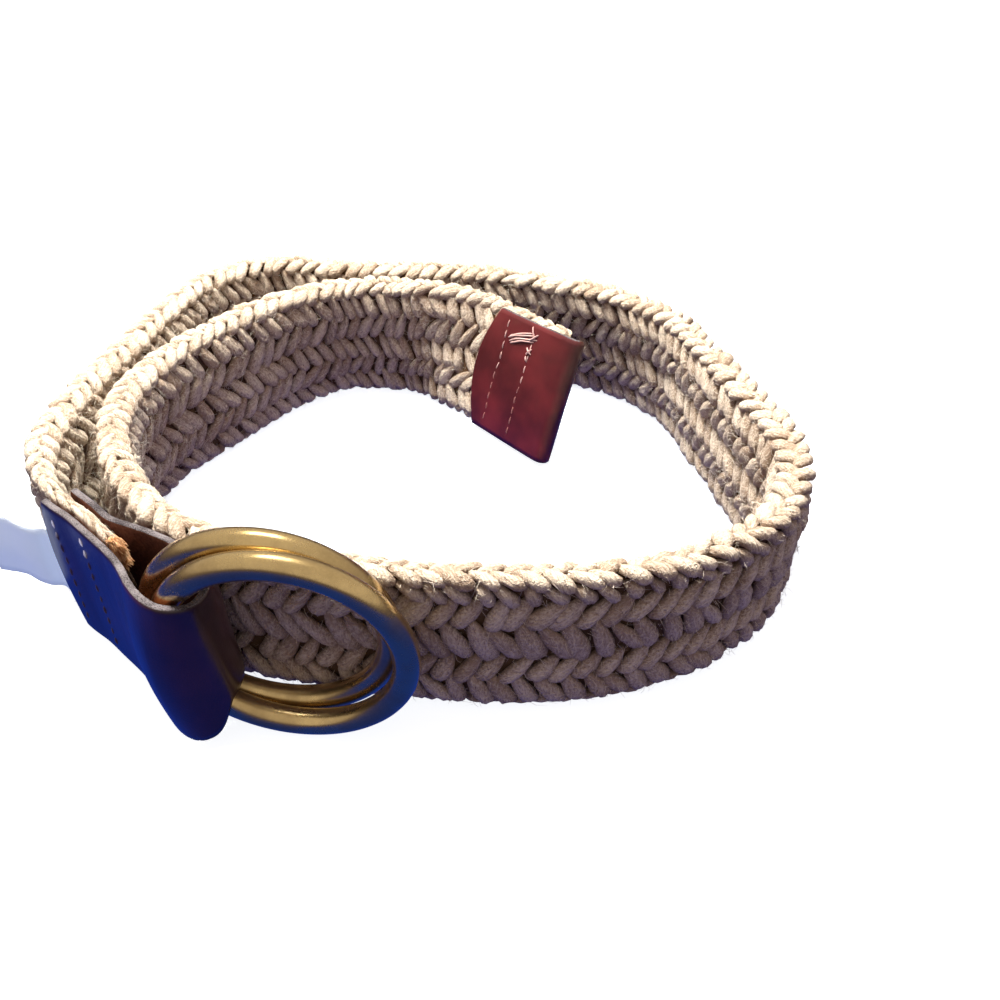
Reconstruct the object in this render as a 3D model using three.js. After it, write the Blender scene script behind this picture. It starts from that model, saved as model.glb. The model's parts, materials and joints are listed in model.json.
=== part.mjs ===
// Woven belt: a thick cotton braid with a leather tip and two brass rings held in a leather fold.
// It lies as a loop of about one and a half turns and stands on its lower edge.
// Millimetres, +Z up. The origin is the middle of the footprint, on the surface.
import * as THREE from 'three';

const DEG = Math.PI / 180;
const GAP = 0.4;               // clearance between pieces that touch

// Braided strap
const STRAP_WIDTH = 40;
const STRAP_THICK = 8.2;
const TURN_THICK = 9.0;        // on the right turn, where the braid swells
const SEWN_THICK = 3.4;        // where the stitched leather presses it together
const STRAP_SECTIONS = 150;
const FOOT_HALF = 1.4;         // half of the flat that the strap stands on
const SHOULDER = 1.1;          // the strap's rounded edges: here they reach most of the thickness,
const SHOULDER_SHARE = 0.84;   // this share of it,
const SIDE = 3.2;              // and here all of it

// Leather
const LEATHER_THICK = 1.5;
const LEATHER_LEVELS = 6;      // faces from a strip's lower edge to its upper one
const TONGUE = 5.4;            // how far a flap's rounded end stands out at mid height
const FLAP_LENGTH = 28.8;      // length of the strap's sewn end inside the ring fold
const OUTER_FLAP_LOW = 2.0;    // height of the flaps' lower edges above the surface
const INNER_FLAP_LOW = 0.8;
const FLAP_SHARES = [1, 0.76, 0.52, 0.28]; // where a flap's line is taken from the strap
const FOLD_STEPS = 84;         // faces along the ring fold
const TIP_STEPS = 48;          // and along the tip

// Rings
const WIRE = 5.7;
const RING_CENTRE_LINE = 48.8; // diameter of the wire's centre line
const RING_PITCH = 6.05;       // from ring to ring, measured square to them
const RING_TURN = -4.2;        // degrees from the X axis, seen from above
const RING_LEAN = -4.2;        // degrees from upright, top towards -Y
const RING_FRONT = { x: -19.1, y: -80.9 };
const RING_SHIFT = -4.3;       // how far the rear ring sits to the left of the front one
const WIRE_FACETS = 14;
const RING_FACETS = 64;

// Sewn-in label, blank
const LABEL = { width: 18, thick: 1.0, low: 11, steps: 8 };

// The strap's course from its sewn end, round the loop and inside itself to the tip.
// x, y: middle of the lower edge; thick: thickness; lean: degrees, top to the left of travel
const COURSE = [
  [-55.7, -63.9, SEWN_THICK, 0.0],
  [-66.3, -54.6, SEWN_THICK, 0.0],
  [-77.4, -45.3, SEWN_THICK + 0.8, 0.0],
  [-85.9, -29.9, STRAP_THICK, 0.0],
  [-87.2, -5.9, STRAP_THICK, -0.1],
  [-83.9, 17.7, STRAP_THICK, -0.4],
  [-80.4, 41.6, STRAP_THICK, -0.7],
  [-74.4, 64.9, STRAP_THICK, -1.2],
  [-58.2, 81.2, STRAP_THICK, -3.0],
  [-33.7, 82.5, STRAP_THICK, -4.8],
  [-8.5, 82.6, STRAP_THICK, -6.0],
  [15.3, 82.7, STRAP_THICK, -7.2],
  [38.6, 77.2, STRAP_THICK, -7.6],
  [61.1, 66.7, STRAP_THICK, -7.2],
  [77.4, 49.2, STRAP_THICK, -5.8],
  [84.6, 26.2, STRAP_THICK, -4.5],
  [90.7, 2.7, TURN_THICK, -3.4],
  [94.1, -22.5, TURN_THICK, -1.2],
  [84.5, -43.5, TURN_THICK, 3.2],
  [65.5, -58.7, STRAP_THICK, 4.5],
  [43.0, -66.6, STRAP_THICK, 3.2],
  [17.9, -68.4, STRAP_THICK, 2.5],
  [-7.0, -66.2, STRAP_THICK, 3.2],
  [-30.6, -61.9, STRAP_THICK, 3.0],
  [-52.1, -50.9, STRAP_THICK, 1.0],
  [-69.2, -33.0, STRAP_THICK, -3.0],
  [-77.9, -11.6, STRAP_THICK, -5.5],
  [-74.3, 11.3, STRAP_THICK, -3.4],
  [-61.4, 32.1, STRAP_THICK, 1.4],
  [-47.4, 53.1, STRAP_THICK, -1.7],
  [-29.6, 67.1, STRAP_THICK, -6.4],
  [-5.5, 64.8, STRAP_THICK, -1.0],
  [3.3, 56.9, STRAP_THICK - 0.6, 13.0],
  [9.7, 51.0, SEWN_THICK, 19.0],
  [14.3, 46.4, SEWN_THICK, 19.0],
  [23.7, 36.7, SEWN_THICK, 19.0],
  [33.1, 27.0, SEWN_THICK - 0.8, 19.0],
];
const TIP_ROW = 34;            // the row of the course where the tip's own frame begins

// The leather's way round the rings, seen from above, from the outer flap to the inner one.
// x, y: middle of the leather; low, high: its edges; belly: outward bulge; rake: top edge inwards
const RING_FOLD = [
  [-56.9, -66.6, 2.2, 40.0, 0.3, 0.0],
  [-52.6, -71.2, 2.0, 40.3, 1.2, 0.0],
  [-48.9, -76.4, 2.1, 41.0, 2.0, 0.0],
  [-46.1, -79.9, 2.3, 41.6, 2.2, 0.0],
  [-43.4, -82.6, 2.7, 42.2, 2.2, 0.0],
  [-40.4, -84.5, 3.2, 42.4, 1.2, 0.0],
  [-37.2, -85.1, 4.2, 42.2, 0.3, 0.4],
  [-34.4, -84.1, 6.0, 41.0, 0.0, 1.4],
  [-32.4, -81.4, 12.6, 40.2, 0.0, 2.2],
  [-31.5, -77.4, 13.0, 40.0, 0.0, 2.4],
  [-32.1, -73.0, 13.0, 40.0, 0.0, 2.0],
  [-34.5, -69.2, 12.6, 40.0, 0.0, 1.0],
  [-38.9, -66.6, 2.6, 40.0, 0.3, 0.0],
  [-43.9, -63.8, 1.4, 40.0, 0.4, 0.0],
  [-48.7, -61.2, 1.0, 40.0, 0.2, 0.0],
  [-53.5, -59.1, 1.0, 40.0, 0.0, 0.0],
];

// The leather of the tip in its own frame, X along the strap and Y to its left: from the near flap's
// start, round the fold and back along the far flap. The columns are those of the ring fold.
const TIP_FOLD = [
  [-4.2, -2.9, 0.2, 39.2, 0.0, 0.0],
  [8.0, -2.9, 0.1, 39.3, 0.0, 0.0],
  [19.0, -2.9, 0.0, 39.5, 0.0, 0.0],
  [28.0, -2.9, 0.0, 39.8, 0.0, 0.0],
  [31.0, -2.9, 0.1, 39.9, 0.0, 0.0],
  [32.3, -2.3, 0.3, 40.0, 0.0, 0.0],
  [32.8, -1.3, 0.6, 39.9, 0.0, 0.0],
  [32.3, 0.0, 1.0, 39.4, 0.0, 0.0],
  [30.3, 1.3, 1.5, 38.8, 0.0, 0.0],
  [26.0, 2.6, 1.8, 38.2, 0.0, 0.0],
  [19.0, 2.9, 1.8, 38.0, 0.0, 0.0],
  [8.0, 2.9, 1.8, 38.0, 0.0, 0.0],
  [-4.2, 2.9, 1.8, 38.0, 0.0, 0.0],
];

// Where the label lies, seen from above, from the seam outwards
const LABEL_COURSE = [
  [-80.9, -48.8],
  [-85.9, -45.6],
  [-91.5, -43.2],
  [-98.7, -43.0],
];

const COTTON = new THREE.MeshStandardMaterial({ color: 0xd8c8ae, roughness: 0.95, metalness: 0.0 });
const LEATHER = new THREE.MeshStandardMaterial({ color: 0x4a1a1c, roughness: 0.42, metalness: 0.0 });
const BRASS = new THREE.MeshStandardMaterial({ color: 0x9a7a3e, roughness: 0.34, metalness: 1.0 });
const SATIN = new THREE.MeshStandardMaterial({ color: 0xe6e6ea, roughness: 0.6, metalness: 0.0 });

// Joins outlines with equally many points into one closed solid. Each outline goes up one side and
// down the other, anticlockwise against the run, so point i lies across from point count - 1 - i.
function loft(outlines) {
  const count = outlines[0].length;
  const position = outlines.flat().flatMap((point) => point.toArray());
  const index = [];
  for (let row = 0; row < outlines.length - 1; row += 1) {
    for (let i = 0; i < count; i += 1) {
      const a = row * count + i;
      const b = row * count + ((i + 1) % count);
      index.push(a, b, b + count, a, b + count, a + count);
    }
  }
  const last = (outlines.length - 1) * count;
  for (let i = 0; i < count / 2 - 1; i += 1) {
    const [a, b, c, d] = [i, i + 1, count - 2 - i, count - 1 - i];
    index.push(a, c, b, a, d, c);
    index.push(last + a, last + b, last + c, last + a, last + c, last + d);
  }
  const geometry = new THREE.BufferGeometry();
  geometry.setAttribute('position', new THREE.Float32BufferAttribute(position, 3));
  geometry.setIndex(index);
  geometry.computeVertexNormals();
  return geometry;
}

// A smooth curve through the x and y of a table's rows.
function courseCurve(rows) {
  const points = rows.map(([x, y]) => new THREE.Vector3(x, y, 0));
  return new THREE.CatmullRomCurve3(points, false, 'centripetal');
}

// The value of one column of a table at parameter t of its curve, from 0 to 1.
function columnAt(rows, column, t) {
  const place = t * (rows.length - 1);
  const row = Math.min(Math.floor(place), rows.length - 2);
  return THREE.MathUtils.lerp(rows[row][column], rows[row + 1][column], place - row);
}

// Point and left-hand side of a plan curve at parameter t.
function frameAt(curve, t) {
  const tangent = curve.getTangent(t);
  return { point: curve.getPoint(t), left: new THREE.Vector3(-tangent.y, tangent.x, 0) };
}

// Half of the strap's outline: share of the half thickness, height above the lower edge.
function strapProfile(thick) {
  const foot = (2 * FOOT_HALF) / thick;
  const half = [
    [foot, 0],
    [SHOULDER_SHARE, SHOULDER],
    [1, SIDE],
    [1, STRAP_WIDTH - SIDE],
    [SHOULDER_SHARE, STRAP_WIDTH - SHOULDER],
    [foot, STRAP_WIDTH],
  ];
  const mirrored = half.map(([share, up]) => [-share, up]).reverse();
  return [...half, ...mirrored].map(([share, up]) => [share * (thick / 2), up]);
}

// The strap's outline at parameter t of its course. Its foot stays flat on the surface.
function strapOutline(curve, t) {
  const { point, left } = frameAt(curve, t);
  const lean = columnAt(COURSE, 3, t) * DEG;
  return strapProfile(columnAt(COURSE, 2, t)).map(([across, up]) => {
    const foot = up === 0;
    const side = foot ? across : across * Math.cos(lean) + up * Math.sin(lean);
    const height = foot ? 0 : up * Math.cos(lean) - across * Math.sin(lean);
    return point.clone().addScaledVector(left, side).setZ(height);
  });
}

function strapGeometry(curve) {
  const outlines = [];
  for (let i = 0; i <= STRAP_SECTIONS; i += 1) {
    outlines.push(strapOutline(curve, curve.getUtoTmapping(i / STRAP_SECTIONS)));
  }
  return loft(outlines);
}

// A strip of even thickness that stands on edge. at(s) gives its middle line at distance s,
// and ends(share) the distances where it starts and ends at a share of its height.
function stripGeometry({ at, ends, thick, steps, levels }) {
  const outlines = [];
  for (let i = 0; i <= steps; i += 1) {
    const faces = [[], []];
    for (let j = 0; j <= levels; j += 1) {
      const share = j / levels;
      const [start, end] = ends(share);
      const { point, left, low, high, belly, rake } = at(THREE.MathUtils.lerp(start, end, i / steps));
      const inwards = rake * share - belly * Math.sin(Math.PI * share);
      [1, -1].forEach((side, face) => {
        faces[face].push(point.clone().addScaledVector(left, side * (thick / 2) + inwards)
          .setZ(THREE.MathUtils.lerp(low, high, share)));
      });
    }
    outlines.push([...faces[0], ...faces[1].reverse()]);
  }
  return loft(outlines);
}

// A leather strip along a table's rows, with both ends cut to a rounded tongue.
function leatherGeometry(rows, steps) {
  const curve = courseCurve(rows);
  const length = curve.getLength();
  const at = (s) => {
    const t = curve.getUtoTmapping(THREE.MathUtils.clamp(s / length, 0, 1));
    const [low, high, belly, rake] = [2, 3, 4, 5].map((column) => columnAt(rows, column, t));
    return { ...frameAt(curve, t), low, high, belly, rake };
  };
  const ends = (share) => {
    const cut = TONGUE * (2 * share - 1) ** 2;
    return [cut, length - cut];
  };
  return stripGeometry({ at, ends, thick: LEATHER_THICK, steps, levels: LEATHER_LEVELS });
}

// Rows for one flap on the strap's sewn end: side 1 is the outer flap, -1 the inner one.
function flapRows(strapCurve, side) {
  return FLAP_SHARES.map((share) => {
    const t = strapCurve.getUtoTmapping((share * FLAP_LENGTH) / strapCurve.getLength());
    const { point, left } = frameAt(strapCurve, t);
    const offset = columnAt(COURSE, 2, t) / 2 + GAP + LEATHER_THICK / 2;
    const { x, y } = point.addScaledVector(left, side * offset);
    return [x, y, side > 0 ? OUTER_FLAP_LOW : INNER_FLAP_LOW, STRAP_WIDTH, 0, 0];
  });
}

// The leather fold: one flap along each side of the strap's sewn end, joined round the rings.
function ringFoldGeometry(strapCurve) {
  const inner = flapRows(strapCurve, -1).reverse();
  return leatherGeometry([...flapRows(strapCurve, 1), ...RING_FOLD, ...inner], FOLD_STEPS);
}

// Puts the tip's own frame on the last stretch of the strap.
function placeTip(mesh) {
  const [x, y] = COURSE[TIP_ROW];
  const [endX, endY, , lean] = COURSE[COURSE.length - 1];
  mesh.rotation.order = 'ZXY';
  mesh.rotation.set(-lean * DEG, 0, Math.atan2(endY - y, endX - x));
  mesh.position.set(x, y, 0);
}

function labelGeometry() {
  const curve = courseCurve(LABEL_COURSE);
  const length = curve.getLength();
  const at = (s) => {
    const frame = frameAt(curve, curve.getUtoTmapping(THREE.MathUtils.clamp(s / length, 0, 1)));
    return { ...frame, low: LABEL.low, high: LABEL.low + LABEL.width, belly: 0, rake: 0 };
  };
  const ends = () => [0, length];
  return stripGeometry({ at, ends, thick: LABEL.thick, steps: LABEL.steps, levels: 1 });
}

// A ring stands on the surface, turned and leaning a little.
function ringMesh(name, row) {
  const radius = RING_CENTRE_LINE / 2;
  const mesh = new THREE.Mesh(new THREE.TorusGeometry(radius, WIRE / 2, WIRE_FACETS, RING_FACETS), BRASS);
  const turn = RING_TURN * DEG;
  const lean = RING_LEAN * DEG;
  const back = (row * RING_PITCH) / Math.cos(lean);
  const along = row * RING_SHIFT;
  mesh.name = name;
  mesh.rotation.order = 'ZXY';
  mesh.rotation.set(Math.PI / 2 - lean, 0, turn);
  mesh.position.set(
    RING_FRONT.x + along * Math.cos(turn) - back * Math.sin(turn),
    RING_FRONT.y + along * Math.sin(turn) + back * Math.cos(turn),
    radius * Math.cos(lean) + WIRE / 2,
  );
  return mesh;
}

function named(name, geometry, material) {
  const mesh = new THREE.Mesh(geometry, material);
  mesh.name = name;
  return mesh;
}

const strapCurve = courseCurve(COURSE);
const tip = named('leather_tip', leatherGeometry(TIP_FOLD, TIP_STEPS), LEATHER);
placeTip(tip);

const belt = new THREE.Group();
belt.name = 'woven_belt';
belt.add(
  named('braided_strap', strapGeometry(strapCurve), COTTON),
  named('leather_ring_fold', ringFoldGeometry(strapCurve), LEATHER),
  ringMesh('ring_front', 0),
  ringMesh('ring_rear', 1),
  tip,
  named('blank_label', labelGeometry(), SATIN),
);

export default belt;
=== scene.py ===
# %% [markdown]
# # A woven belt, standing on its edge
#
# The belt is a thick braid of natural cotton with a leather tip and two brass rings. It is dressed
# here in that order: the braid, the metal and the leather with its stitches and label. All of it is
# fitted on a finished frame of solids, which gives each piece its place and size. Blender counts in
# metres, and the floor is at height zero. The measures of the belt are given in millimetres.

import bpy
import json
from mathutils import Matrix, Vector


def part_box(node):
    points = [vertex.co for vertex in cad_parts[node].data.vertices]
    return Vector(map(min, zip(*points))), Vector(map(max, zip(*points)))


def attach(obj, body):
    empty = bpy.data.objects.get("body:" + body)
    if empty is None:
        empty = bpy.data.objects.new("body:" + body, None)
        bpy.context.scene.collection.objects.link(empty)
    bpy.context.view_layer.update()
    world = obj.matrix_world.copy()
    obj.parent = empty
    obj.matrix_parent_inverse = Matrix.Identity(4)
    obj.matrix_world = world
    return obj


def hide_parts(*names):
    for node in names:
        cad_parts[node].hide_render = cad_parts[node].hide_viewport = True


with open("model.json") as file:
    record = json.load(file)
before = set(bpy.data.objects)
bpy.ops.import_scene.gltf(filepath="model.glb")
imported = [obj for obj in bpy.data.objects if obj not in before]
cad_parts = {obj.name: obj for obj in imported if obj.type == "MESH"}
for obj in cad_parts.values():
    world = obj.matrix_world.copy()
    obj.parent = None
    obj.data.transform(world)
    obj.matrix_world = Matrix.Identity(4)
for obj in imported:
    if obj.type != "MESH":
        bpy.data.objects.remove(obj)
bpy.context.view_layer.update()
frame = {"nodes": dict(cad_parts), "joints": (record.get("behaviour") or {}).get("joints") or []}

# %% Tools
import json
import math

import bmesh
import bpy
import numpy as np
from mathutils import Matrix, Vector
from mathutils.bvhtree import BVHTree

MM = 0.001
SEED = 7
rng = np.random.default_rng(SEED)
print("random numbers from seed", SEED)

# %% [markdown]
# ## Camera
#
# The belt is seen from a little above table height, looking down on it by 38 degrees, with a short
# lens close by: that is why the rings look large and the back of the loop small. The numbers come
# from fitting the known outline of the loop.

# %% Camera
CAMERA_PLACE = (22.7 * MM, -198.6 * MM, 158.4 * MM)
CAMERA_LENS = 31.5          # for a sensor 36 mm wide
LOOK_DOWN = 38.015          # degrees below the horizon
ROLL = 1.436                # degrees, anticlockwise

camera_data = bpy.data.cameras.new("camera")
camera_data.lens = CAMERA_LENS
camera_data.clip_start = 0.01
camera_data.clip_end = 20.0
camera = bpy.data.objects.new("camera", camera_data)
camera.matrix_world = (
    Matrix.Translation(CAMERA_PLACE)
    @ Matrix.Rotation(math.radians(90 - LOOK_DOWN), 4, "X")
    @ Matrix.Rotation(math.radians(ROLL), 4, "Z")
)
bpy.context.scene.collection.objects.link(camera)
bpy.context.scene.camera = camera
print("camera at", CAMERA_PLACE)

# %% [markdown]
# ## Shader wires
#
# A material is a small graph of nodes. Written out link by link it is hard to read, so one class
# wraps an output socket and lets Python's arithmetic add the Math nodes. Every other node comes from
# its method node, which takes the type, the settings and what goes into the sockets.


# %% A wire between shader nodes
class Wire:
    """An output socket of a shader node, or with no socket the start of a material's graph."""

    def __init__(self, tree, socket=None):
        self.tree = tree
        self.socket = socket

    def node(self, kind, settings=None, inputs=None, output=0):
        """Adds a node: its settings first, then values or wires into its sockets."""
        made = self.tree.nodes.new(kind)
        for name, value in (settings or {}).items():
            setattr(made, name, value)
        for name, value in (inputs or {}).items():
            if isinstance(value, Wire):
                self.tree.links.new(value.socket, made.inputs[name])
            else:
                made.inputs[name].default_value = value
        return Wire(self.tree, made.outputs[output] if made.outputs else None)

    def maths(self, operation, *values):
        return self.node("ShaderNodeMath", {"operation": operation}, dict(enumerate(values)))

    def __add__(self, other):
        return self.maths("ADD", self, other)

    def __mul__(self, other):
        return self.maths("MULTIPLY", self, other)

    __radd__ = __add__

    def smooth(self, low, high):
        """0 below low, 1 above high and a soft step between them."""
        limits = {"Value": self, "From Min": low, "From Max": high}
        return self.node("ShaderNodeMapRange", {"interpolation_type": "SMOOTHSTEP"}, limits)


def mix_colours(mask, first, second):
    """first where the mask is 0, second where it is 1. Colours are wires or tuples."""
    MASK, FIRST, SECOND, RESULT = 0, 6, 7, 2
    first, second = (c if isinstance(c, Wire) else (*c, 1.0) for c in (first, second))
    inputs = {MASK: mask, FIRST: first, SECOND: second}
    return mask.node("ShaderNodeMix", {"data_type": "RGBA"}, inputs, RESULT)


def stretched(vector, scale):
    """A vector with its three parts scaled one by one."""
    return vector.node("ShaderNodeVectorMath", {"operation": "MULTIPLY"}, {0: vector, 1: scale})


def noise(vector, scale, detail=3.0, roughness=0.55):
    """Soft noise from 0 to 1 on that vector."""
    inputs = {"Vector": vector, "Scale": scale, "Detail": detail, "Roughness": roughness}
    return vector.node("ShaderNodeTexNoise", {}, inputs)


def bump(height, distance, strength=1.0):
    """A bumped normal. height runs from 0 to 1, distance is its depth in metres."""
    inputs = {"Height": height, "Distance": distance, "Strength": strength}
    return height.node("ShaderNodeBump", {}, inputs)


def new_material(name):
    """An empty material and the start of its graph."""
    material = bpy.data.materials.new(name)
    material.use_nodes = True
    material.node_tree.nodes.clear()
    return material, Wire(material.node_tree)


def object_place(graph):
    """Where on the object a point lies, in metres."""
    return graph.node("ShaderNodeTexCoord", {}, {}, "Object")


def height_of(vector):
    return vector.node("ShaderNodeSeparateXYZ", {}, {"Vector": vector}, "Z")


def finish_material(graph, inputs):
    """Ends the graph in a Principled shader with these inputs."""
    shader = graph.node("ShaderNodeBsdfPrincipled", {}, inputs)
    graph.node("ShaderNodeOutputMaterial", {}, {"Surface": shader})


print("shader wires ready")

# %% [markdown]
# ## Floor and light
#
# One soft lamp hangs close above, behind the belt and to the left. It whitens the top edge of the
# braid, reaches down into the right side of the loop and leaves the front of the strap in shade. A
# warm sky, brighter above than near the horizon, fills the shade, so that every strand is lighter on
# its upper side. All else is done with cards, as in a studio, each seen by one kind of ray only, so
# that they can be set one by one. Gloss mirrors a deep blue card on the floor, which colours the dark
# leather and the undersides of the rings, a pale card overhead, which keeps the tops of the rings
# light, and in the lamp's own place a small card, weaker than the lamp, which the rings mirror as
# short white streaks. A mauve card on the floor throws a little light up into the braid. The white
# floor and backdrop are for the eye alone.


# %% Floor and backdrop
STAGE = 6.0                 # half the floor's width and the backdrop's radius


def flat_sheet(name, half, height, middle=(0.0, 0.0)):
    """A level square sheet on the stage, in metres."""
    mesh = bpy.data.meshes.new(name)
    corners = [(-half, -half), (half, -half), (half, half), (-half, half)]
    corners = [(middle[0] + x, middle[1] + y, height) for x, y in corners]
    mesh.from_pydata(corners, [], [(0, 1, 2, 3)])
    sheet = bpy.data.objects.new(name, mesh)
    bpy.context.scene.collection.objects.link(sheet)
    return sheet


floor = flat_sheet("floor", STAGE, -0.0002)
material, graph = new_material("pale_floor")
finish_material(graph, {
    "Base Color": (0.50, 0.53, 0.60, 1.0),
    "Roughness": 0.9,
    "Specular IOR Level": 0.0,
    "Emission Color": (0.96, 0.98, 1.0, 1.0),
    "Emission Strength": 0.92,
})
floor.data.materials.append(material)

backdrop = flat_sheet("backdrop", STAGE, 0.0)
bowl = bmesh.new()
bmesh.ops.create_icosphere(bowl, subdivisions=4, radius=STAGE)
bowl.to_mesh(backdrop.data)
bowl.free()
for eye_only in (floor, backdrop):
    eye_only.visible_diffuse = False
    eye_only.visible_glossy = False
    eye_only.visible_transmission = False
    eye_only.visible_shadow = False
material, graph = new_material("pale_backdrop")
finish_material(graph, {
    "Base Color": (0.0, 0.0, 0.0, 1.0),
    "Specular IOR Level": 0.0,
    "Emission Color": (1.0, 1.0, 1.0, 1.0),
    "Emission Strength": 1.0,
})
backdrop.data.materials.append(material)
print("floor and backdrop,", 2 * STAGE, "m wide")


# %% Cards and sky
DEEP_BLUE, PALE_GREY, LAMP_WHITE = (0.011, 0.043, 0.37), (0.66, 0.60, 0.52), (1.0, 0.97, 0.90)
MAUVE = (0.040, 0.034, 0.215)
HORIZON, ZENITH = (0.080, 0.064, 0.062), (0.51, 0.415, 0.39)
LAMP_PLACE = (-0.07, 0.10, 0.42)
CARD = 0.6                  # half the width of the two cards on the floor


def gloss_card(name, half, height, colour, strength=1.0, middle=(0.0, 0.0)):
    """A glowing card that only gloss can see."""
    card = flat_sheet(name, half, height, middle)
    card.visible_camera = False
    card.visible_diffuse = False
    card.visible_shadow = False
    material, graph = new_material(name + "_glow")
    finish_material(graph, {
        "Base Color": (0.0, 0.0, 0.0, 1.0),
        "Specular IOR Level": 0.0,
        "Emission Color": (*colour, 1.0),
        "Emission Strength": strength,
    })
    card.data.materials.append(material)


gloss_card("deep_blue_card", CARD, -0.0006, DEEP_BLUE)
gloss_card("overhead_card", 4.0, 1.0, PALE_GREY)
gloss_card("streak_card", 0.085, LAMP_PLACE[2], LAMP_WHITE, 7.0, LAMP_PLACE[:2])

bounce_card = flat_sheet("bounce_card", CARD, -0.0009)
bounce_card.visible_camera = False
bounce_card.visible_glossy = False
material, graph = new_material("mauve_card")
finish_material(graph, {
    "Base Color": (0.02, 0.02, 0.05, 1.0),
    "Roughness": 0.9,
    "Specular IOR Level": 0.0,
    "Emission Color": (*MAUVE, 1.0),
    "Emission Strength": 1.0,
})
bounce_card.data.materials.append(material)

world = bpy.data.worlds.new("sky")
world.use_nodes = True
world.node_tree.nodes.clear()
graph = Wire(world.node_tree)
direction = graph.node("ShaderNodeTexCoord", {}, {}, "Generated")
sky = mix_colours(height_of(direction).smooth(0.05, 0.45), HORIZON, ZENITH)
light = graph.node("ShaderNodeBackground", {}, {"Color": sky, "Strength": 1.0})
graph.node("ShaderNodeOutputWorld", {}, {"Surface": light})
bpy.context.scene.world = world
bpy.context.scene.view_settings.view_transform = "Standard"
print("three cards for gloss, one for cloth, and a sky")

# %% Lamp
lamp_data = bpy.data.lights.new("overhead", "AREA")
lamp_data.shape = "DISK"
lamp_data.size = 0.15
lamp_data.energy = 6.0
lamp_data.color = (1.0, 0.96, 0.88)
lamp = bpy.data.objects.new("overhead", lamp_data)
lamp.location = LAMP_PLACE
towards_belt = Vector((0.0, 0.0, 0.02)) - Vector(LAMP_PLACE)
lamp.rotation_euler = towards_belt.to_track_quat("-Z", "Y").to_euler()
lamp.visible_glossy = False
bpy.context.scene.collection.objects.link(lamp)
print("lamp of", lamp_data.energy, "W at", LAMP_PLACE)

# %% [markdown]
# ## The strap's course
#
# The belt lies in a coil of about one and a half turns, on its lower edge. Its middle line is the
# smooth curve through the rows below, the same rows that shaped the solid strap, so that the strands
# lie exactly in its place. A row gives the middle of the lower edge, how thick the braid is there and
# how far it leans.

# %% Course of the strap
WIDTH = 40.0
THICK = 8.2
TURN = 9.0                  # on the right turn, where the braid swells
SEWN = 3.4                  # thickness where the leather presses the braid

# x, y: middle of the lower edge; thick: thickness; lean: degrees, top to the left of travel
COURSE = [
    (-55.7, -63.9, SEWN, 0.0),
    (-66.3, -54.6, SEWN, 0.0),
    (-77.4, -45.3, SEWN + 0.8, 0.0),
    (-85.9, -29.9, THICK, 0.0),
    (-87.2, -5.9, THICK, -0.1),
    (-83.9, 17.7, THICK, -0.4),
    (-80.4, 41.6, THICK, -0.7),
    (-74.4, 64.9, THICK, -1.2),
    (-58.2, 81.2, THICK, -3.0),
    (-33.7, 82.5, THICK, -4.8),
    (-8.5, 82.6, THICK, -6.0),
    (15.3, 82.7, THICK, -7.2),
    (38.6, 77.2, THICK, -7.6),
    (61.1, 66.7, THICK, -7.2),
    (77.4, 49.2, THICK, -5.8),
    (84.6, 26.2, THICK, -4.5),
    (90.7, 2.7, TURN, -3.4),
    (94.1, -22.5, TURN, -1.2),
    (84.5, -43.5, TURN, 3.2),
    (65.5, -58.7, THICK, 4.5),
    (43.0, -66.6, THICK, 3.2),
    (17.9, -68.4, THICK, 2.5),
    (-7.0, -66.2, THICK, 3.2),
    (-30.6, -61.9, THICK, 3.0),
    (-52.1, -50.9, THICK, 1.0),
    (-69.2, -33.0, THICK, -3.0),
    (-77.9, -11.6, THICK, -5.5),
    (-74.3, 11.3, THICK, -3.4),
    (-61.4, 32.1, THICK, 1.4),
    (-47.4, 53.1, THICK, -1.7),
    (-29.6, 67.1, THICK, -6.4),
    (-5.5, 64.8, THICK, -1.0),
    (3.3, 56.9, THICK - 0.6, 13.0),
    (9.7, 51.0, SEWN, 19.0),
    (14.3, 46.4, SEWN, 19.0),
    (23.7, 36.7, SEWN, 19.0),
    (33.1, 27.0, SEWN - 0.8, 19.0),
]
TIP_ROW = 34                # where the leather tip's own frame begins


def smooth_course(rows, steps=24):
    """Centripetal curve through the rows' x and y, the other columns going along in a straight line.
    Gives its distance, x, y, thick and lean at every step, in millimetres and degrees."""
    rows = np.array(rows)
    ends = 2 * rows[[0, -1]] - rows[[1, -2]]
    points = np.vstack([ends[:1], rows, ends[1:]])[:, :2]
    share = np.linspace(0, 1, steps, endpoint=False)[:, None]
    pieces = []
    for i in range(len(rows) - 1):
        before, start, end, after = points[i:i + 4]
        d0, d1, d2 = np.sqrt(np.linalg.norm(np.diff(points[i:i + 4], axis=0), axis=1))
        leave = ((start - before) / d0 - (end - before) / (d0 + d1) + (end - start) / d1) * d1
        reach = ((end - start) / d1 - (after - start) / (d1 + d2) + (after - end) / d2) * d1
        cubic = 2 * start - 2 * end + leave + reach
        square = -3 * start + 3 * end - 2 * leave - reach
        place = start + share * (leave + share * (square + share * cubic))
        pieces.append(np.hstack([place, rows[i, 2:] + share * (rows[i + 1, 2:] - rows[i, 2:])]))
    line = np.vstack([*pieces, rows[-1:]])
    gone = np.concatenate([[0], np.cumsum(np.linalg.norm(np.diff(line[:, :2], axis=0), axis=1))])
    return np.hstack([gone[:, None], line])


course = smooth_course(COURSE)
LENGTH = course[-1, 0]
print(f"strap {LENGTH:.0f} mm along its middle")

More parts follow.
